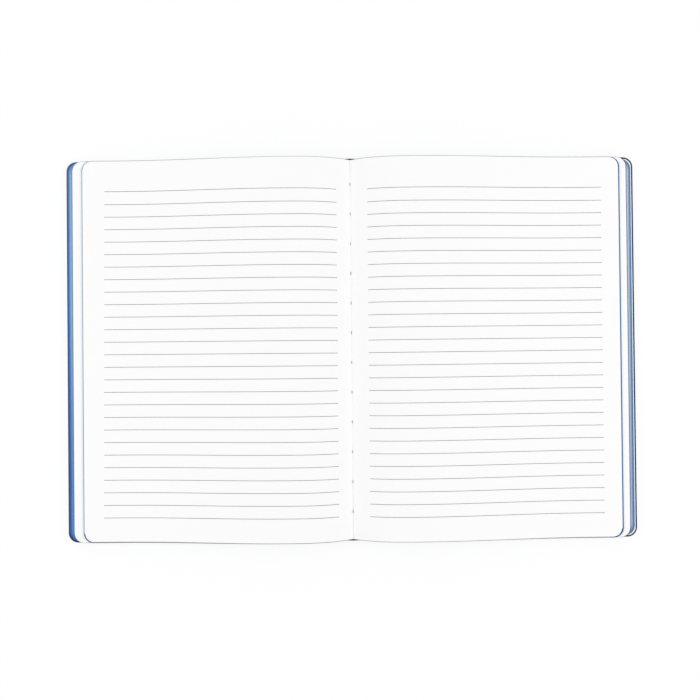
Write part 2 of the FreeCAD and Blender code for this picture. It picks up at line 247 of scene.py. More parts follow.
class Wire:
    """A shader socket that can be used in an expression."""

    def __init__(self, net, socket):
        self.net = net
        self.socket = socket

    def maths(self, operation, *others, clamp=False):
        settings = {"operation": operation, "use_clamp": clamp}
        inputs = dict(enumerate((self, *others)))
        return self.net.node("ShaderNodeMath", settings, inputs)

    def __add__(self, other):
        return self.maths("ADD", other)

    def __sub__(self, other):
        return self.maths("SUBTRACT", other)

    def __rsub__(self, other):
        return self.net.number(other).maths("SUBTRACT", self)

    def __mul__(self, other):
        return self.maths("MULTIPLY", other)

    def __truediv__(self, other):
        return self.maths("DIVIDE", other)

    __radd__ = __add__
    __rmul__ = __mul__

    def clip(self):
        return self.maths("ADD", 0.0, clamp=True)


class Net:
    """The node tree of one material, with a principled surface at its end."""

    def __init__(self, name):
        self.material = bpy.data.materials.new(name)
        self.material.use_nodes = True
        self.tree = self.material.node_tree
        self.surface = self.tree.nodes["Principled BSDF"]
        place = self.node("ShaderNodeTexCoord", out="Object")
        self.place = self.node(
            "ShaderNodeVectorMath", {"operation": "SCALE"}, {0: place, "Scale": 1 / MM}
        )

    def put(self, socket, value):
        """Links a wire to a socket, or sets a plain value on it."""
        if isinstance(value, Wire):
            self.tree.links.new(value.socket, socket)
        else:
            socket.default_value = value

    def node(self, kind, settings=None, inputs=None, out=0):
        """Adds a node: its type, its settings, then the values or wires of its sockets."""
        node = self.tree.nodes.new(kind)
        for key, value in (settings or {}).items():
            setattr(node, key, value)
        for key, value in (inputs or {}).items():
            self.put(node.inputs[key], value)
        return Wire(self, node.outputs[out])

    def looks(self):
        """1 for rays that show a background, straight, mirrored or through glass, and 0 for the
        rest, which only carry light."""
        kinds = ("Camera", "Glossy", "Transmission")
        return sum(self.node("ShaderNodeLightPath", out=f"Is {kind} Ray") for kind in kinds).clip()

    def number(self, value):
        wire = self.node("ShaderNodeValue")
        wire.socket.default_value = value
        return wire

    def axis(self, letter):
        """One coordinate of the place on the object, in millimetres."""
        return self.node("ShaderNodeSeparateXYZ", None, {0: self.place}, letter)

    def noise(self, scale, detail=2.0, stretch=(1, 1, 1)):
        """Noise between 0 and 1, with so many waves to a millimetre along each axis."""
        place = self.node(
            "ShaderNodeVectorMath", {"operation": "MULTIPLY"}, {0: self.place, 1: stretch}
        )
        inputs = {"Vector": place, "Scale": scale, "Detail": detail}
        return self.node("ShaderNodeTexNoise", None, inputs, "Fac")

    def blend(self, factor, first, second):
        """One colour over another by a factor."""
        inputs = {0: factor, 6: first, 7: second}
        return self.node("ShaderNodeMix", {"data_type": "RGBA"}, inputs, 2)

    def step(self, wire, start, end):
        """0 before start and 1 after end, turning smoothly between them."""
        inputs = {0: wire, 1: start, 2: end, 3: 0.0, 4: 1.0}
        return self.node("ShaderNodeMapRange", {"interpolation_type": "SMOOTHSTEP"}, inputs)

    def ramp(self, wire, bands):
        """Colours from bands of (place, colour), the places running from 0 to 1."""
        shade = self.node("ShaderNodeValToRGB", None, {0: wire})
        stops = shade.socket.node.color_ramp.elements
        for _ in range(len(bands) - 2):
            stops.new(0.5)
        for stop, (place, colour) in zip(stops, bands):
            stop.position = place
            stop.color = colour
        return shade

    def bump(self, height, depth):
        """Turns a height from 0 to 1 into a slope of the surface, with a depth in millimetres."""
        inputs = {"Height": height, "Distance": depth * MM}
        self.put(self.surface.inputs["Normal"], self.node("ShaderNodeBump", None, inputs))

    def finish(self, colour, roughness, **others):
        self.put(self.surface.inputs["Base Color"], colour)
        self.put(self.surface.inputs["Roughness"], roughness)
        for key, value in others.items():
            self.put(self.surface.inputs[key.replace("_", " ")], value)
        return self.material


def srgb(red, green, blue):
    """A screen colour from 0 to 255 as the linear colour that a shader wants."""
    screen = np.array([red, green, blue]) / 255
    low = screen / 12.92
    high = ((screen + 0.055) / 1.055) ** 2.4
    return (*np.where(screen <= 0.04045, low, high).tolist(), 1.0)


print("a screen grey of 188 is", round(srgb(188, 188, 188)[0], 3), "in linear light")

# %% [markdown]
# Writing paper is almost white and quite matte. Looked at closely it is a felt of fibres. A picture
# of paper could be laid over it, but it would have to be read from a file and would repeat. A faint
# cloud of noise does neither: it varies the colour by a percent or so and the surface by microns.

# %% Paper
PAPER_WHITE = srgb(252, 252, 252)
PAPER_SHADE = 0.975  # the darkest fibres, as a share of that
PAPER_RELIEF = 0.012
DULL = 0.25  # specular level of paper, ink and card


def paper_finish(net, colour, fibre):
    """What every paper here has: matte fibres that stand out by a few microns."""
    net.bump(fibre, PAPER_RELIEF)
    return net.finish(colour, 0.86 + fibre * 0.08, Specular_IOR_Level=DULL)


def paper_material(name):
    net = Net(name)
    cloud = net.noise(0.05, 3.0)
    fibre = net.noise(1.6, 3.0, (1.0, 2.2, 1.0))
    fibre_colour = [v * PAPER_SHADE for v in PAPER_WHITE[:3]] + [1.0]
    shade = net.blend(cloud * 0.5 + fibre * 0.5, PAPER_WHITE, fibre_colour)
    return paper_finish(net, shade, fibre)


paper = paper_material("writing_paper")
endpaper = paper_material("endpaper_paper")
print("papers:", paper.name, "and", endpaper.name)

# %% [markdown]
# The dye that was put on the trimmed edges also crept on to the margin of the leaf that is pasted
# inside the left panel. The margin could be a strip of its own, but a strip on paper either floats
# or flickers. A formula for the distance from the outline needs no extra shape.

# %% A stained border
ENDPAPER_STAIN = srgb(46, 92, 170)
STAIN_BORDER = 0.9  # width of the border
STAIN_FADE = 0.3  # over which it ends, and by which the fibres fray it


def bordered_material(name, outer, border, width):
    """Writing paper with a stained border. The distance from a place to the outline of a rectangle
    with round corners is the corner radius less the length of what reaches past the corner's
    centre, or, where nothing does, less the larger of the two shortfalls, which are negative."""
    net = Net(name)
    past_x = net.axis("X").maths("ABSOLUTE") - (outer[0] - CORNER)
    past_y = net.axis("Y").maths("ABSOLUTE") - (outer[1] - CORNER)
    over_x = past_x.maths("MAXIMUM", 0.0)
    over_y = past_y.maths("MAXIMUM", 0.0)
    corner = (over_x * over_x + over_y * over_y).maths("SQRT")
    within = CORNER - corner - past_x.maths("MAXIMUM", past_y).maths("MINIMUM", 0.0)
    fibre = net.noise(1.6, 3.0)
    soaked = 1 - net.step(within + fibre * STAIN_FADE, width, width + STAIN_FADE)
    return paper_finish(net, net.blend(soaked, PAPER_WHITE, border), fibre)


stained_endpaper = bordered_material("stained_endpaper", PASTE_HIGH, ENDPAPER_STAIN, STAIN_BORDER)
print("stained border:", STAIN_BORDER, "mm wide")

# %% [markdown]
# The ruling is thin grey ink. Ink lies in the paper and not on it, so it has no height, and it is
# lighter where the grain takes less of it. The paper of the fold is painted a little darker towards
# head and tail, as painted shade of the crease. Both could be patterns in the paper's own material,
# but a printed line is thinner than any mask can draw sharply, so each is a plain material for
# cells of its own.

# %% Ink and fold
RULING_DARK = srgb(108, 108, 106)
RULING_LIGHT = srgb(138, 138, 135)
# Painted shade of the crease in the fold, full towards head and tail.
CREASE_SHADE = srgb(216, 216, 210)
HEAD_CREASE_SHADE = (108.0, 122.0)  # from where the shade begins to where it is full
TAIL_CREASE_SHADE = (70.0, 110.0)


def ruling_material():
    net = Net("ruling_ink")
    grain = net.noise(3.0, 2.0)
    shade = net.blend(grain, RULING_DARK, RULING_LIGHT)
    return net.finish(shade, 0.8 + grain * 0.1, Specular_IOR_Level=DULL)


def crease_shade_material():
    """Fold paper with painted crease shade, measured from places along it to head and tail."""
    net = Net("paper_with_painted_crease_shade")
    along = net.axis("Y")
    # painted shade of the crease, stronger at the head than at the tail
    crease_shading = net.step(along, *HEAD_CREASE_SHADE) * 0.6 + net.step(0.0 - along, *TAIL_CREASE_SHADE) * 0.4
    fibre = net.noise(1.6, 3.0)
    shade = net.blend(crease_shading + fibre * 0.05, PAPER_WHITE, CREASE_SHADE)
    return net.finish(shade, 0.9, Specular_IOR_Level=DULL)


ruling = ruling_material()
crease_shaded_paper = crease_shade_material()
print("printed and creased:", ruling.name, "and", crease_shaded_paper.name)

# %% [markdown]
# The trimmed edges were stained blue with the block pressed shut. Once it lies open the leaves fan
# out, and the pile shows bands. They are partly dye, which some leaves took more of than others,
# and
# partly painted light: painted shade on the lowest leaves and painted highlight on those higher up,
# whose edges face up. Every leaf could have its own colour, but a ramp over the height in the pile
# gives the same bands with one material, and long streaks of noise part the leaves from each other.

# %% Bands of stain
# From the lowest leaf to the highest: blue dye, with painted shade low in the pile and painted
# highlight higher up.
LEFT_DYE_AND_LIGHT_BANDS = [
    (0.0, srgb(44, 98, 174)),
    (0.2, srgb(64, 120, 188)),
    (0.38, srgb(114, 162, 204)),
    (0.58, srgb(164, 190, 210)),
    (0.8, srgb(124, 154, 182)),
    (1.0, srgb(144, 166, 188)),
]
RIGHT_DYE_AND_LIGHT_BANDS = [
    (0.0, srgb(74, 118, 176)),
    (0.25, srgb(102, 144, 188)),
    (0.42, srgb(154, 180, 204)),
    (0.62, srgb(212, 214, 220)),
    (0.8, srgb(112, 142, 180)),
    (1.0, srgb(92, 128, 174)),
]
STAIN_DEEP = srgb(70, 98, 164)  # at the head beside the fold
STAIN_DARK = srgb(34, 56, 112)  # round the corners
# Greyer along head and tail: the stain mixed with painted shade.
GREY_STAIN_AND_SHADE = srgb(134, 139, 150)  # along head and tail
STAIN_TAIL = srgb(2, 86, 172)  # towards the tail
print("bands:", len(LEFT_DYE_AND_LIGHT_BANDS), "at the left and", len(RIGHT_DYE_AND_LIGHT_BANDS), "at the right")

# %% Stain on the trimmed edges
BY_END = (115.0, 121.0)  # from the middle, where the sides turn into head and tail
BY_CORNER = (166.0, 171.0)  # from the fold, where head and tail turn into the corners
BY_HEAD = (100.0, 120.0)  # the deep patch at the head,
BY_FOLD = (4.0, 36.0)  # and how far from the fold it ends
BY_TAIL = (-60.0, 100.0)  # from the head's side of the middle to near the tail
PATCH_DEPTH = 0.85


def stain_and_light_material(name, bands, corners, ends, tail):
    """Blue stain on the trimmed edges, with painted light. The colour of a leaf's edge depends on
    where it lies in the pile, given as bands of colour from the lowest leaf to the highest, partly
    dye and partly painted shade and highlight, with streaks along them. It is deeper round the
    corners, at the head beside the fold and towards the tail, by one share for the lowest leaf and
    another for the highest, and greyer along head and tail, where painted shade is mixed into it."""
    net = Net(name)
    height = (net.axis("Z") - BED) / (LEVEL - BED)
    streak = net.noise(0.8, 3.0, (0.6, 0.05, 4.0))
    patch = net.noise(0.09, 2.0)
    level = (height + (streak - 0.5) * 0.12 + (patch - 0.5) * 0.1).clip()
    across = net.axis("X").maths("ABSOLUTE")
    along = net.axis("Y")
    by_end = net.step(along.maths("ABSOLUTE"), *BY_END)
    by_corner = net.step(across, *BY_CORNER)
    by_fold = net.step(along, *BY_HEAD) * (1 - net.step(across, *BY_FOLD))
    by_tail = net.step(0.0 - along, *BY_TAIL)
    deeper = by_tail * (tail[0] + level * (tail[1] - tail[0]))
    # bands of dye with painted shade and painted highlight, by height in the pile
    shade = net.blend(deeper, net.ramp(level, bands), STAIN_TAIL)
    shade = net.blend(by_end * (1 - by_corner) * ends, shade, GREY_STAIN_AND_SHADE)
    shade = net.blend(by_end * by_corner * corners, shade, STAIN_DARK)
    shade = net.blend(by_fold * PATCH_DEPTH, shade, STAIN_DEEP)
    return net.finish(shade, 0.7 + streak * 0.15, Specular_IOR_Level=0.3)


# Shares of painted shade mixed into the stain along head and tail:
EDGE = 0.15  # how grey the edges of the piles are along head and tail
OUTLINE = 0.9  # and the thin rim of the open pages
left_stain_and_light = stain_and_light_material("left_edge_stain_and_painted_light", LEFT_DYE_AND_LIGHT_BANDS, 0.4, EDGE, (0.85, 0.32))
right_stain_and_light = stain_and_light_material("right_edge_stain_and_painted_light", RIGHT_DYE_AND_LIGHT_BANDS, 0.6, EDGE, (0.25, 0.15))
left_rim_and_light = stain_and_light_material("left_rim_stain_and_painted_light", LEFT_DYE_AND_LIGHT_BANDS, 0.6, OUTLINE, (0.25, 0.25))
right_rim_and_light = stain_and_light_material("right_rim_stain_and_painted_light", RIGHT_DYE_AND_LIGHT_BANDS, 1.0, OUTLINE, (0.45, 0.45))
print("stains:", left_stain_and_light.name, right_stain_and_light.name, left_rim_and_light.name, right_rim_and_light.name)

# %% [markdown]
# The cover is dark blue coated card with a fine leather-like grain. The grain could be modelled,
# but it is a twentieth of a millimetre deep, so a bump in the shading is enough. At the left head
# corner the card is coloured a lighter blue.

# %% Cover card
CARD_DARK = srgb(12, 24, 62)
CARD_LIGHT = srgb(22, 40, 92)
CARD_CORNER_BLUE = srgb(72, 120, 192)
CARD_RELIEF = 0.05
CORNER_BLUE_HEAD = (112.0, 119.0)  # from the middle of the book towards the head
CORNER_BLUE_EDGE = (172.0, 178.0)  # and towards the left fore edge


def card_material():
    """Grained card. The lighter blue corner is one step towards the head times one towards the
    left.
    """
    net = Net("cover_card")
    grain = net.noise(1.1, 4.0)
    cloud = net.noise(0.02, 2.0)
    shade = net.blend(cloud * 0.6 + grain * 0.4, CARD_DARK, CARD_LIGHT)
    by_head = net.step(net.axis("Y"), *CORNER_BLUE_HEAD)
    by_edge = net.step(0.0 - net.axis("X"), *CORNER_BLUE_EDGE)
    shade = net.blend(by_head * by_edge * 0.8, shade, CARD_CORNER_BLUE)
    net.bump(grain, CARD_RELIEF)
    return net.finish(shade, 0.5 + grain * 0.16, Specular_IOR_Level=DULL)


card = card_material()
print("cover:", card.name)

# %% [markdown]
# The lining is open-weave cloth glued over the folds, and the thread is white cotton, coloured grey
# as painted shade of the needle holes and the fold that it lies in. Real woven threads could be
# modelled for the cloth, but it is hidden under the leaves, so the product of two sine waves stands
# for warp and weft. The thread's two plies are modelled further on, and its material adds fluff.

# %% Cloth and thread
CLOTH_DARK = srgb(205, 205, 198)
CLOTH_LIGHT = srgb(232, 232, 226)
WEAVE = 1.1  # length of one wave of the cloth
# The thread's greys are painted shade: the white thread darkened where it sits in its holes.
SHADED_THREAD_DARK = srgb(162, 163, 161)
SHADED_THREAD_LIGHT = srgb(188, 189, 186)


def lining_material():
    """Open-weave cloth: a sine wave across the cloth times one along it, from 0 to 1."""
    net = Net("lining_cloth")
    turns = 2 * math.pi / WEAVE
    warp = (net.axis("X") * turns).maths("SINE")
    weft = (net.axis("Y") * turns).maths("SINE")
    weave = (warp * weft) * 0.5 + 0.5
    shade = net.blend(weave, CLOTH_DARK, CLOTH_LIGHT)
    net.bump(weave, 0.08)
    return net.finish(shade, 0.9 - weave * 0.1)


def shaded_thread_material():
    net = Net("cotton_thread_with_painted_shade")
    fluff = net.noise(6.0, 3.0)
    # greys of painted shade, varied by the fluff
    shade = net.blend(fluff, SHADED_THREAD_DARK, SHADED_THREAD_LIGHT)
    net.bump(fluff, 0.02)
    return net.finish(shade, 0.8 + fluff * 0.1)


lining = lining_material()
cotton = shaded_thread_material()
print("sewn and lined with:", cotton.name, "and", lining.name)

# %% [markdown]
# A block of paper could be one solid with stripes on its edge, which is what the frame holds. Seen
# from the side, though, an open notebook shows its leaves, so every one under the open pages is
# drawn here. Near the fold they stand on the arch of the spine, one behind the other, so a leaf
# only begins where its own fold is. From there they share the height between the bed and the open
# page evenly, except that the leaves of one section keep together, which leaves a thin dark slit
# between one section and the next. The stain ran into those slits along head and tail, so the
# stained margin of a leaf is wide there and narrow at the fore edge.

# %% Rows of a leaf
RIM = 0.16  # width of the margin that the stain has soaked
DEEP_RIM = 1.4  # the same along head and tail where the pages arch
DEEP_REACH = (140.0, 160.0)  # from the deep margin to the narrow one
THIN = 0.02  # least width of a cell
CORNER_ROWS = 9  # rows round a corner as far as the stained margin
RIM_ROWS = 3  # rows across the stained margin at the fore edge
CLIMB_ROWS = 17
CLIMB_CROWDING = 1.6  # above 1 the rows crowd towards the fold
FALL_ROWS = 12

climb_steps = np.linspace(0, 1, CLIMB_ROWS) ** CLIMB_CROWDING
fall_steps = np.linspace(0, 1, FALL_ROWS)[1:]


def leaf_reaches(start, fore_edge, rim=RIM):
    """Distances from the fold at which a leaf's grid has its rows: close together on the climb and
    round the corners, and wide apart where the leaf is nearly straight."""
    crown = start + (CROWN_REACH - start) * climb_steps
    flank = CROWN_REACH + (FLAT_REACH - CROWN_REACH) * fall_steps
    onto_rim = math.asin(1 - rim / CORNER)
    along = np.linspace(0, onto_rim, CORNER_ROWS)
    across = np.linspace(onto_rim, math.pi / 2, RIM_ROWS + 1)[1:]
    corner = fore_edge - CORNER + CORNER * np.sin(np.concatenate([along, across]))
    return np.concatenate([crown, flank, corner])


def half_height(reach, fore_edge, inset=0.0):
    """Half the height of a leaf at a distance from the fold: full, then a quarter circle. With an
    inset it follows the leaf's outline at that distance inside it."""
    radius = CORNER - inset
    past = np.clip(reach - (fore_edge - CORNER), 0, radius)
    return LEAF_HEIGHT / 2 - CORNER + np.sqrt(radius**2 - past**2)


def rim_height(reach, fore_edge, inset):
    """Where the stained rim of a leaf begins, never quite at the outline itself."""
    tall = half_height(reach, fore_edge)
    return np.minimum(half_height(reach, fore_edge, inset), tall - THIN)


print("rows of a leaf:", len(leaf_reaches(0.0, LEFT["foot"])))

# %% [markdown]
# The fore edges follow the lean of each pile. The leaves could be dealt out by hand, but counting
# them is enough: the number of a leaf gives its fore edge and its share of the height.

# %% Where a leaf lies
BUNCHING = 0.34  # how much a section keeps together where the page stands highest


def fore_edge_of(half, leaf):
    """Where a leaf's fore edge lies: drawn in with the open section, or along the pile's lean."""
    up = np.clip((SIDE_LEAVES - 1 - leaf) / (SIDE_LEAVES - OPEN_LEAVES - 1), 0, 1)
    fanned = half["fan"] * (leaf - OPEN_LEAVES + 1)
    drawn_in = half["foot"] - half["lean"] - half["step"] + fanned
    return np.where(leaf < OPEN_LEAVES, drawn_in, half["foot"] - half["lean"] * up)


def pile_share(leaf, reach, lift):
    """The share of the height between bed and page that a leaf's upper face has under it. Only the
    leaves whose folds are nearer than the reach are counted, and sections keep together by lift."""
    present = np.clip(reach / LEAF, leaf + 1, SIDE_LEAVES)
    section = OPEN_LEAVES + (leaf - OPEN_LEAVES) // SECTION_LEAVES * SECTION_LEAVES
    middle = 0 if leaf < OPEN_LEAVES else section + SECTION_LEAVES / 2
    gathered = middle + (leaf - middle) * (1 - BUNCHING * lift)
    return 1 - gathered / present


lowest, highest = (fore_edge_of(LEFT, leaf) for leaf in (SIDE_LEAVES - 1, OPEN_LEAVES))
print(f"left fore edges: {lowest:.1f} mm out at the bottom, {highest:.1f} mm further up")

# %% [markdown]
# No pile is quite regular. Each leaf is set off by a hair from its place and sways a little along
# its length, by random numbers that start from a fixed seed, so each run draws the same notebook.
# All the leaves of a half become one mesh, as they are one piece of the real book.

# %% The leaves
SLAB = 0.1  # thickness drawn for a leaf, a little less than its share of the pile
EDGE_SETTLING = 0.035  # how unevenly the fore edges lie
SHIFT_SETTLING = 0.02  # and the leaves along the fold
SWAY = 0.25  # how much of its thickness a leaf sways, where the page stands highest
SWAY_LENGTH = 40.0  # along the fold, for one radian of it
SWAY_TURN = 0.9  # radians from one leaf to the next
INNER_COLUMNS = 5  # columns between the stained margins


def leaf_points(half, leaf):
    """Upper grid of a leaf in millimetres, rows from fold to fore edge, columns tail to head. Its
    height is the bed's plus a share of what lies between bed and page, times a sine wave's sway."""
    fore_edge = float(fore_edge_of(half, leaf)) + rng.normal(0, EDGE_SETTLING)
    reach = leaf_reaches((leaf + 0.5) * LEAF, fore_edge)[:, None]
    shift = rng.normal(0, SHIFT_SETTLING)
    tall = half_height(reach, fore_edge) + shift
    soaked = np.interp(reach, DEEP_REACH, (DEEP_RIM, RIM))
    inner_tall = rim_height(reach, fore_edge, soaked) + shift
    y = np.concatenate([-tall, np.linspace(-1, 1, INNER_COLUMNS)[None, :] * inner_tall, tall], 1)
    floor = bed_height(reach)
    roof = page_height(reach, half["crown"])
    lift = np.clip((roof - LEVEL) / (half["crown"] - LEVEL), 0, 1)
    sway = 1 + SWAY * lift * np.sin(y / SWAY_LENGTH + leaf * SWAY_TURN) / SIDE_LEAVES
    z = floor + (roof - floor) * pile_share(leaf, reach, lift) * sway
    return np.stack([half["side"] * reach + 0 * y, y, z], -1)


def rim_slots(rows, columns):
    """Material slots of a leaf's upper cells: stained along the three trimmed edges."""
    slots = np.zeros((rows, columns), int)
    slots[:, [0, -1]] = 1
    slots[-RIM_ROWS:] = 1
    return slots.ravel()


def leaf_stack(half):
    """Points, faces and slots of all leaves of one half that lie under the open page."""
    points, faces, slots = [], [], []
    start = 0
    for leaf in range(1, SIDE_LEAVES):
        upper = leaf_points(half, leaf)
        rows, columns = upper.shape[0] - 1, upper.shape[1] - 1
        lower = upper - [0, 0, SLAB]
        both = np.concatenate([upper.reshape(-1, 3), lower.reshape(-1, 3)])
        quads = slab_faces(np.ones((rows, columns), bool))
        rim = rim_slots(rows, columns)
        turned = half["side"] < 0
        points.append(both)
        faces.append(flip(np.concatenate(quads), turned) + start)
        slots.append(np.concatenate([rim, rim, np.ones(len(quads[2]), int)]))
        start += len(both)
    return np.concatenate(points), np.concatenate(faces), np.concatenate(slots)


for half, name, edge_stain_and_light in (
    (LEFT, "left_leaves", left_stain_and_light),
    (RIGHT, "right_leaves", right_stain_and_light),
):
    points, faces, slots = leaf_stack(half)
    leaves = mesh_object(name, points, faces, slots, [paper, edge_stain_and_light])
    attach(leaves, "book")
    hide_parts("text_block")
    print(name, len(faces), "quads")

# %% [markdown]
# The sheet on top lies across the fold and is both open pages at once. It carries the ruling: a
# head line, then evenly spaced lines down to the tail, printed on both pages between margins. The
# lines could be an image on the page, or thin strips laid over it. Here the grid of the sheet has
# a narrow column of cells at each line, and those cells take the ink, so the lines stay sharp and
# follow the arch. The sheet was printed and folded a little out of square: the lines climb
# slightly towards both edges, and on the left page their outer ends drift outwards down the page.

# %% The ruling in numbers
LINE_WIDTH = 0.34
HEAD_LINE = 103.43  # from the middle of the page
FIRST_LINE = 94.96
LINE_PITCH = 8.1194
LINE_COUNT = 26
LINE_CLIMB = {-1: 0.0021, 1: 0.0025}
MARGIN = {-1: (9.6, 159.6), 1: (11.0, 163.2)}
MARGIN_DRIFT = {-1: 0.0077, 1: 0.0}  # how much wider the lines get with each millimetre down
LINES = np.array([HEAD_LINE] + [FIRST_LINE - i * LINE_PITCH for i in range(LINE_COUNT)])
print(len(LINES), "lines to a page, the last", round(float(LINES[-1]), 1), "mm from the middle")

# %% [markdown]
# The sheet is sewn through the fold with a running stitch. Each short stitch that shows inside the
# fold has a needle hole at either end. Dashes drawn in the gutter would look much the same from
# above, but not from near by. So there are real holes and a real thread, and both are worked out
# from the same places, which means that no stitch can miss its holes.

# %% The sewing in numbers
STITCH_PITCH = 19.4
STITCH_COUNT = 12
STITCH_LENGTH = 1.2
STITCH_SHIFT = 1.0  # the sewing's middle is nearer the head than the leaf's
STITCHES = STITCH_SHIFT + (np.arange(STITCH_COUNT) - (STITCH_COUNT - 1) / 2) * STITCH_PITCH
HOLES = np.concatenate([STITCHES - STITCH_LENGTH / 2, STITCHES + STITCH_LENGTH / 2])
HOLE_LENGTH = 0.6
HOLE_WIDTH = 0.48
print(STITCH_COUNT, "stitches and", len(HOLES), "needle holes")

# %% [markdown]
# The stain shows as a thin blue line round the open pages, greyed along head and tail with painted
# shade. It is wider along the tail than along the head and widens towards the fore edge, which the
# rows of widths below give. A mask in the paper's material would blur such a thin line, so it is a
# column of cells, as a printed line is. Along the fold the grid also has narrow columns at the
# needle holes, and a row as wide as a hole.

# %% The grid of the open sheet
SHEET_RIM = 0.3  # stained margin of the open pages at the fore edge
RIM_PLACES = (20, 58, 97, 133, 162)  # distances from the fold of the widths that follow
HEAD_RIM = {-1: (0.22, 0.22, 0.28, 0.28, 0.3), 1: (0.25, 0.25, 0.28, 0.29, 0.31)}
TAIL_RIM = {-1: (0.36, 0.38, 0.56, 0.66, 0.76), 1: (0.3, 0.3, 0.33, 0.52, 0.64)}


def sheet_rows(half):
    """Distances from the fold for the open page's grid, with rows at the hole and the margins."""
    fore_edge = float(fore_edge_of(half, 0))
    reach = leaf_reaches(HOLE_WIDTH / 2, fore_edge, SHEET_RIM)
    return np.unique(np.concatenate([reach, MARGIN[half["side"]]])), fore_edge


def sheet_columns():
    """Distances from the middle of the page for the grid's columns: edges of lines and holes."""
    edges = [LINES - LINE_WIDTH / 2, LINES + LINE_WIDTH / 2]
    edges += [HOLES - HOLE_LENGTH / 2, HOLES + HOLE_LENGTH / 2]
    return np.unique(np.concatenate(edges))


def open_sheet_grid():
    """Upper grid of the open sheet from the left fore edge, over the fold, to the right one."""
    columns = sheet_columns()
    parts = []
    for half in (LEFT, RIGHT):
        reach, fore_edge = sheet_rows(half)
        reach = reach[:, None]
        tall = half_height(reach, fore_edge)
        head_rim = np.interp(reach, RIM_PLACES, HEAD_RIM[half["side"]])
        tail_rim = np.interp(reach, RIM_PLACES, TAIL_RIM[half["side"]])
        head = rim_height(reach, fore_edge, head_rim)
        tail = -rim_height(reach, fore_edge, tail_rim)
        climb = LINE_CLIMB[half["side"]] * reach
        inner = np.clip(columns[None, :] + climb, tail, head)
        y = np.concatenate([-tall, tail, inner, head, tall], 1)
        drift = MARGIN_DRIFT[half["side"]] * (HEAD_LINE - y)
        reach = reach + np.where(reach == MARGIN[half["side"]][1], drift, 0)
        z = page_height(reach, half["crown"])
        parts.append(np.stack([half["side"] * reach, y, z], -1))
    return np.concatenate([parts[0][::-1], parts[1]]), len(parts[0])


grid, left_rows = open_sheet_grid()
print("open sheet:", grid.shape[0], "rows and", grid.shape[1], "columns")

# %% [markdown]
# Each cell of the sheet is plain paper, a piece of a printed line, stained rim, fold, or needle
# hole. They could be picked one by one in edit mode. What a cell is follows from where it lies,
# though, so a few comparisons on whole arrays sort them all at once.

# %% The open sheet
PLAIN, LEFT_RIM, INK, RIGHT_RIM, FOLD = range(5)  # material slots
DRIFT_ROOM = 0.9  # room for the drift of the lines' outer ends, less than the next row is away


def cell_marks(grid, left_rows):
    """Which cells of the open sheet are left out as needle holes, printed as lines, or stained."""
    columns = sheet_columns()
    middle = (columns[1:] + columns[:-1]) / 2
    printed = np.abs(middle[:, None] - LINES[None, :]).min(1) < LINE_WIDTH / 2
    pierced = np.abs(middle[:, None] - HOLES[None, :]).min(1) < HOLE_LENGTH / 2
    edge = np.zeros(2, bool)
    printed = np.concatenate([edge, printed, edge])
    pierced = np.concatenate([edge, pierced, edge])
    x = (grid[1:, 0, 0] + grid[:-1, 0, 0]) / 2
    low = np.where(x < 0, MARGIN[-1][0], MARGIN[1][0])
    high = np.where(x < 0, MARGIN[-1][1], MARGIN[1][1])
    inside = (np.abs(x) > low - DRIFT_ROOM) & (np.abs(x) < high + DRIFT_ROOM)
    fold = np.arange(len(x)) == left_rows - 1
    keep = ~(fold[:, None] & pierced[None, :])
    slots = np.where(inside[:, None] & printed[None, :], INK, PLAIN)
    slots[fold] = FOLD
    slots[:, [0, -1]] = np.where(x < 0, LEFT_RIM, RIGHT_RIM)[:, None]
    slots[:RIM_ROWS] = LEFT_RIM
    slots[-RIM_ROWS:] = RIGHT_RIM
    return keep, slots


keep, slots = cell_marks(grid, left_rows)
lower = grid - [0, 0, SLAB]
points = np.concatenate([grid.reshape(-1, 3), lower.reshape(-1, 3)])
upper_faces, lower_faces, wall_faces = slab_faces(keep)
faces = np.concatenate([upper_faces, lower_faces, wall_faces])
wall_slots = np.where(points[wall_faces[:, 0], 0] < 0, LEFT_RIM, RIGHT_RIM)
under_slots = np.where(slots[keep] == INK, PLAIN, slots[keep])
sheet_slots = np.concatenate([slots[keep], under_slots, wall_slots])
sheet_materials = [paper, left_rim_and_light, ruling, right_rim_and_light, crease_shaded_paper]
open_sheet = mesh_object("open_sheet", points, faces, sheet_slots, sheet_materials)
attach(open_sheet, "book")
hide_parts("text_block")
print("open sheet:", len(faces), "quads,", int((~keep).sum()), "cells left out for needle holes")

# %% [markdown]
# The thread runs behind the fold and comes through for one short stitch at each pair of needle
# holes, so a row of small marks is all that shows. A curve with a bevel would make a smooth tube,
# but sewing thread is two plies twisted together. A tube worked out ring by ring can have their
# rope-like outline: its radius is larger along two ridges that wind round it.

# %% The thread's run
THREAD_RADIUS = 0.2  # over the ridges
RIDGE = 0.16  # how far ridges stand out and valleys sink, as a share of the mean radius
TWIST = 1.1  # from one ridge to the next along the thread, half a turn of the plies
INSIDE_LEVEL = GUTTER + 0.3  # of the thread's middle where a stitch shows
BEHIND_LEVEL = FOLD_BACK + 0.24  # and where it lies in its groove behind the folds
THREAD_TAIL = 3.0  # how far it runs on past the last hole
THREAD_RINGS = 1400
RING_SIDES = 10
DIVE = 0.4  # how far the thread needs to turn into a hole


def thread_height(y):
    """Height of the thread along the fold: inside the fold between the two holes of a stitch, and
    behind it everywhere else, with a smooth step at each hole."""
    from_stitch = np.abs(y[:, None] - STITCHES[None, :]).min(1)
    step = np.clip((STITCH_LENGTH / 2 - from_stitch) / DIVE * 0.5 + 0.5, 0, 1)
    inside = step * step * (3 - 2 * step)
    return BEHIND_LEVEL + (INSIDE_LEVEL - BEHIND_LEVEL) * inside


print(f"the thread runs at {BEHIND_LEVEL:.2f} mm and stitches at {INSIDE_LEVEL:.2f} mm")

# %% The thread


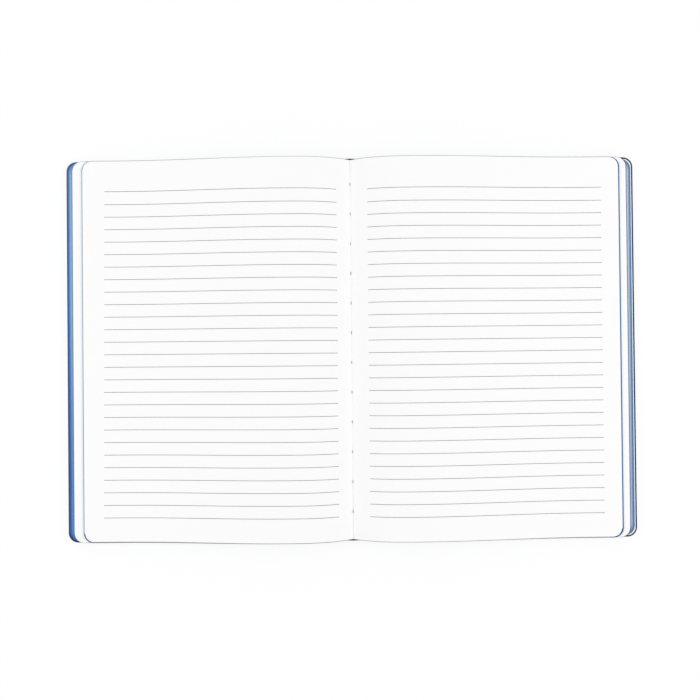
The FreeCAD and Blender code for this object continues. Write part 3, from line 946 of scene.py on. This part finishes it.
def thread_tube():
    """Rings of the thread: a circle with two ridges that turn with the distance along it, set
    square to the thread's slope."""
    end = HOLES.max() + THREAD_TAIL
    spans = np.linspace(2 * STITCH_SHIFT - end, end, THREAD_RINGS)
    z = thread_height(spans)
    slope = np.gradient(z, spans)
    length = np.sqrt(1 + slope**2)
    around = np.linspace(0, 2 * math.pi, RING_SIDES, endpoint=False)
    ridge = 1 - RIDGE * np.cos(2 * around[None, :] + 2 * math.pi * spans[:, None] / TWIST)
    radius = THREAD_RADIUS * ridge / (1 + RIDGE)
    x = radius * np.cos(around)[None, :]
    rise = radius * np.sin(around)[None, :]
    y = spans[:, None] - rise * (slope / length)[:, None]
    return np.stack([x, y, z[:, None] + rise / length[:, None]], -1)


def tube_faces(rings, sides):
    """Quads of a tube of rings, and quads that close both of its ends."""
    number = np.arange(rings * sides).reshape(rings, sides)
    onward = np.roll(number, -1, axis=1)
    wall = np.stack([number[:-1], number[1:], onward[1:], onward[:-1]], -1).reshape(-1, 4)
    first, last = number[0], number[-1]
    steps = range(sides // 2 - 1)
    first_end = [(first[i], first[i + 1], first[-2 - i], first[-1 - i]) for i in steps]
    last_end = [(last[i], last[-1 - i], last[-2 - i], last[i + 1]) for i in steps]
    return np.concatenate([wall, np.array(first_end), np.array(last_end)])


tube = thread_tube()
faces = tube_faces(*tube.shape[:2])
one_slot = np.zeros(len(faces))
smooth = np.ones(len(faces), bool)
thread = mesh_object("stitching", tube.reshape(-1, 3), faces, one_slot, [cotton], smooth)
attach(thread, "book")
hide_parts("sewing_thread")
print("stitching:", len(faces), "quads")

# %% [markdown]
# The real cover is one card, and the frame cuts it at the creases so that its panels can turn.
# Each half is drawn again from the spine's edge to the fore edge, flat, with its rows closer
# together over the crease. Its two corners at the fore edge are round.

# %% The cover
CREASE_START = SPINE_HALF
CREASE_END = PANEL_LOW[0] + 1.2  # where the bend has ended on the panel
CREASE_ROWS = 6
PANEL_ROWS = 6
TURN_ROWS = 14  # round the corners
CARD_COLUMNS = 5


def cover_half(side):
    """Upper and lower grids of one cover panel with its crease: flat, as tall as the cover, and
    past the start of the corners less tall by the rule of a circle."""
    turn = COVER_REACH - CORNER
    rows = np.concatenate(
        [
            np.linspace(CREASE_START, CREASE_END, CREASE_ROWS),
            np.linspace(CREASE_END, turn, PANEL_ROWS)[1:],
            turn + CORNER * np.sin(np.linspace(0, 1, TURN_ROWS) * math.pi / 2)[1:],
        ]
    )
    reach = rows[:, None]
    past = np.clip(reach - turn, 0, CORNER)
    tall = COVER_HEIGHT / 2 - CORNER + np.sqrt(CORNER**2 - past**2)
    y = tall * np.linspace(-1, 1, CARD_COLUMNS)[None, :]
    x = side * reach + 0 * y
    upper = np.stack([x, y, np.full_like(y, CARD)], -1)
    lower = np.stack([x, y, np.zeros_like(y)], -1)
    return upper, lower


for side, name in ((-1, "front_cover"), (1, "back_cover")):
    upper, lower = cover_half(side)
    keep = np.ones((upper.shape[0] - 1, upper.shape[1] - 1), bool)
    faces = flip(np.concatenate(slab_faces(keep)), side < 0)
    points = np.concatenate([upper.reshape(-1, 3), lower.reshape(-1, 3)])
    panel = mesh_object(name + "_card", points, faces, np.zeros(len(faces)), [card])
    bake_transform(panel)
    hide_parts(name)
    print(panel.name, len(faces), "quads")

# %% [markdown]
# The spine strip of the cover, the lining and the endpapers are plain strips and sheets. They
# could be drawn again, but nothing would be gained: hardly any of them shows, and the frame's own
# shapes are exact. So they stay as they are and only take their materials.

# %% Pieces that keep the frame's shape
for node, material in (
    ("cover_spine", card),
    ("spine_lining", lining),
    ("front_endpaper", stained_endpaper),
    ("back_endpaper", endpaper),
):
    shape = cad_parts[node]
    for place in shape.material_slots:
        place.material = material
    print(node, "takes", material.name)

# %% [markdown]
# The table is a plain white floor. Lit strongly enough to look white it would also bleach the
# pages, which are white themselves. So the light stays low, and what the camera sees of the floor
# is a mix: most of it is a white that glows by itself, and the rest is lit as a real table is, so
# that a little shadow is left where the book keeps light away.

# %% The floor
FLOOR_HALF = 6.0  # metres from the middle to an edge
FLOOR_TURNS = ((-1, -1), (1, -1), (1, 1), (-1, 1))
FLOOR_CORNERS = [(x * FLOOR_HALF, y * FLOOR_HALF, 0) for x, y in FLOOR_TURNS]
WHITE = (1.0, 1.0, 1.0, 1.0)
WHITENESS = 0.8  # share of the glowing white

floor_mesh = bpy.data.meshes.new("table_top")
floor_mesh.from_pydata(FLOOR_CORNERS, [], [(0, 1, 2, 3)])
floor = bpy.data.objects.new("table_top", floor_mesh)
bpy.context.scene.collection.objects.link(floor)
floor_net = Net("white_table")
floor_net.finish(WHITE, 1.0, Specular_IOR_Level=0.0)
glow = floor_net.node("ShaderNodeEmission", None, {"Color": WHITE, "Strength": 1.0})
lit = Wire(floor_net, floor_net.surface.outputs[0])
seen = floor_net.looks() * WHITENESS
mixed = floor_net.node("ShaderNodeMixShader", None, {0: seen, 1: lit, 2: glow})
floor_net.put(floor_net.tree.nodes["Material Output"].inputs["Surface"], mixed)
floor_mesh.materials.append(floor_net.material)
print("floor:", 2 * FLOOR_HALF, "m wide")

# %% [markdown]
# A white room lights the book evenly from all round. It alone would leave no side of a leaf darker
# than another, and one hard lamp would throw shadows that the picture doesn't have. A soft lamp at
# either side is between the two: they leave hardly any shadow, and none at head and tail. What the
# camera sees of the room is plain white, as the floor is.

# %% Light
ROOM_LIGHT = 0.71  # strength at which the room lights the book
LAMP_SIZE = 0.7
LAMP_POWERS = {"right_lamp": 6.6, "left_lamp": 6.0}
LAMP_PLACES = {"right_lamp": (1.25, 0.05, 0.85), "left_lamp": (-1.25, 0.05, 0.85)}


class RoomNet(Net):
    """The node tree of the room, which has a background at its end and no surface."""

    def __init__(self, world):
        self.tree = world.node_tree


world = bpy.data.worlds.new("soft_room")
world.use_nodes = True
room = RoomNet(world)
background = world.node_tree.nodes["Background"]
room.put(background.inputs["Color"], WHITE)
room.put(background.inputs["Strength"], ROOM_LIGHT + room.looks() * (1 - ROOM_LIGHT))
bpy.context.scene.world = world


def soft_lamp(name, place, power):
    """A round soft lamp that faces the notebook."""
    data = bpy.data.lights.new(name, "AREA")
    data.shape = "DISK"
    data.size = LAMP_SIZE
    data.energy = power
    lamp = bpy.data.objects.new(name, data)
    lamp.location = place
    lamp.rotation_euler = (-Vector(place)).to_track_quat("-Z", "Y").to_euler()
    bpy.context.scene.collection.objects.link(lamp)


for lamp_name, lamp_power in LAMP_POWERS.items():
    soft_lamp(lamp_name, LAMP_PLACES[lamp_name], lamp_power)
    print(lamp_name, lamp_power, "W")

# %% [markdown]
# The picture was taken from straight above, at about arm's length. A camera could be set up by
# eye, but the ruling is a better guide: the arch of the pages bends the lines in the picture, and
# by how much depends on where the camera is. Its place and its small tilts were found by fitting
# them.

# %% Camera
CAMERA_PLACE = Vector((-2.62, -4.27, 450.0)) * MM
CAMERA_TILTS = (-0.00837, 0.00353, 0.00985)  # about X, Y and Z
LENS = 35.11
SENSOR = 36.0
turn_x = Matrix.Rotation(CAMERA_TILTS[0], 4, "X")
turn_y = Matrix.Rotation(CAMERA_TILTS[1], 4, "Y")
turn_z = Matrix.Rotation(CAMERA_TILTS[2], 4, "Z")
camera_data = bpy.data.cameras.new("overhead")
camera_data.lens = LENS
camera_data.sensor_width = SENSOR
camera_data.clip_start = 0.01
camera = bpy.data.objects.new("overhead", camera_data)
camera.matrix_world = Matrix.Translation(CAMERA_PLACE) @ (turn_z @ turn_x @ turn_y).inverted()
bpy.context.scene.collection.objects.link(camera)
bpy.context.scene.camera = camera
bpy.context.scene.view_settings.view_transform = "Standard"
print("camera at", tuple(round(v, 4) for v in camera.location))
